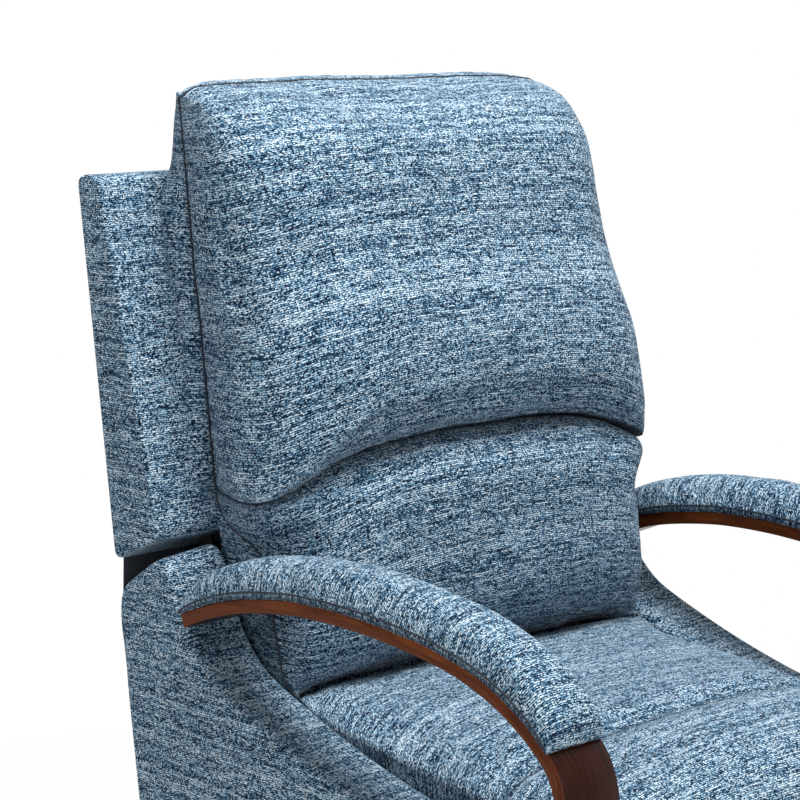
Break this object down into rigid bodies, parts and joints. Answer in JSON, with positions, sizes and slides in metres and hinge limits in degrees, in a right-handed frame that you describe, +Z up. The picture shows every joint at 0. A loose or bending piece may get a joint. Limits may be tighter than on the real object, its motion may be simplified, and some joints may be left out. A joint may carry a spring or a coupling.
{
  "type": "rocker recliner",
  "caption": "Upholstered armchair on a rocker base, with bentwood padded arms, a reclining pillow back and a lever-worked pantograph footrest.",
  "frame": {"origin": "on the floor, under the middle of the whole chair at rest", "axes": "+Z up; the chair faces -Y; +X to the sitter's left"},
  "size_m": [0.74, 0.7541, 1.088],
  "materials": {
    "fabric_blue": "heathered slub weave",
    "fabric_dark": "dark stretch fabric",
    "wood_walnut": "stained and lacquered bent veneer",
    "wood_plain": "bare plywood and hardwood",
    "steel_dark": "black painted pressed steel",
    "steel_bright": "zinc plated steel",
    "plastic_black": "moulded plastic",
    "plastic_white": "moulded plastic"
  },
  "bodies": {
    "base": {"base_rails": "wood_plain", "base_cross_rails": "wood_plain", "floor_glides": "plastic_black", "spring_base_plates": "steel_dark", "rocker_springs": "steel_bright", "base_bolts": "steel_bright"},
    "chassis": {"side_panel_right": "fabric_blue", "side_panel_left": "fabric_blue", "arm_wood_right": "wood_walnut", "arm_wood_left": "wood_walnut", "arm_pad_right": "fabric_blue", "arm_pad_left": "fabric_blue", "front_cross_rail": "wood_plain", "rear_cross_rail": "wood_plain", "rocker_cams": "wood_plain", "spring_top_plates": "steel_dark", "mechanism_plates": "steel_dark", "rear_apron": "fabric_blue", "lever_bezel": "plastic_black", "arm_bolts": "steel_bright"},
    "rear_swings": {"rear_swing_links": "steel_dark"},
    "front_swings": {"front_swing_links": "steel_dark"},
    "seat": {"seat_frame": "wood_plain", "seat_springs": "steel_bright", "seat_cushion": "fabric_blue", "seat_rails": "steel_dark", "seat_cross_tube": "steel_dark", "rail_spacers": "steel_dark", "tube_bushings": "plastic_black"},
    "back": {"back_frame": "fabric_blue", "back_springs": "steel_bright", "back_brackets": "steel_dark", "back_rear_cover": "fabric_blue", "back_skirt": "fabric_dark", "head_pillow": "fabric_blue", "lumbar_cushion": "fabric_blue"},
    "lift_bars": {"footrest_lift_bars": "steel_dark"},
    "cross_bars": {"footrest_cross_bars": "steel_dark", "slot_rollers": "plastic_white"},
    "short_bars": {"footrest_short_bars": "steel_dark"},
    "footrest": {"footrest_brackets": "steel_dark", "footrest_board": "wood_plain", "footrest_pad": "fabric_blue"},
    "lever": {"torque_tube": "steel_dark", "tube_cranks": "steel_dark", "lever_handle": "wood_walnut"},
    "drive": {"drive_links": "steel_dark"}
  },
  "joints": [
    {"name": "rock", "type": "hinge", "parent": "base", "child": "chassis", "pos_m": [0.01, -0.012, 0.17], "axis": [-1, 0, 0], "range_deg": [-7, 7], "stiffness_Nm_per_rad": 700, "deforming": ["rocker_springs"]},
    {"name": "rear_swing", "type": "hinge", "parent": "chassis", "child": "rear_swings", "pos_m": [0.01, 0.15542, 0.22661], "axis": [1, 0, 0], "range_deg": [0, 26]},
    {"name": "front_swing", "type": "hinge", "parent": "chassis", "child": "front_swings", "pos_m": [0.01, -0.20258, 0.22661], "axis": [1, 0, 0], "range_deg": [0, 26]},
    {"name": "seat_level", "type": "hinge", "parent": "rear_swings", "child": "seat", "pos_m": [0.01, 0.194, 0.3057], "axis": [-1, 0, 0], "range_deg": [0, 26]},
    {"name": "recline", "type": "hinge", "parent": "seat", "child": "back", "pos_m": [0.01, 0.206, 0.4307], "axis": [-1, 0, 0], "range_deg": [0, 34]},
    {"name": "footrest_lift", "type": "hinge", "parent": "seat", "child": "lift_bars", "pos_m": [0.01, -0.199, 0.3357], "axis": [-1, 0, 0], "range_deg": [0, 78]},
    {"name": "scissor", "type": "hinge", "parent": "lift_bars", "child": "cross_bars", "pos_m": [0.01, -0.23145, 0.23584], "axis": [1, 0, 0], "range_deg": [0, 156]},
    {"name": "short_bar_pivot", "type": "hinge", "parent": "lift_bars", "child": "short_bars", "pos_m": [0.01, -0.26389, 0.13598], "axis": [1, 0, 0], "range_deg": [0, 156]},
    {"name": "footrest_swing", "type": "hinge", "parent": "cross_bars", "child": "footrest", "pos_m": [0.01, -0.22047, 0.34026], "axis": [-1, 0, 0], "range_deg": [0, 156]},
    {"name": "lever_turn", "type": "hinge", "parent": "seat", "child": "lever", "pos_m": [0.01, -0.089, 0.3007], "axis": [-1, 0, 0], "range_deg": [0, 78]},
    {"name": "drive_pivot", "type": "hinge", "parent": "lever", "child": "drive", "pos_m": [0.01, -0.10013, 0.26646], "axis": [1, 0, 0], "range_deg": [0, 78]}
  ],
  "couplings": [
    {"joint": "rear_swing", "follows": "recline", "ratio": 0.76471},
    {"joint": "front_swing", "follows": "recline", "ratio": 0.76471},
    {"joint": "seat_level", "follows": "recline", "ratio": 0.76471},
    {"joint": "scissor", "follows": "footrest_lift", "ratio": 2},
    {"joint": "short_bar_pivot", "follows": "footrest_lift", "ratio": 2},
    {"joint": "footrest_swing", "follows": "footrest_lift", "ratio": 2},
    {"joint": "lever_turn", "follows": "footrest_lift", "ratio": 1},
    {"joint": "drive_pivot", "follows": "footrest_lift", "ratio": 1}
  ]
}
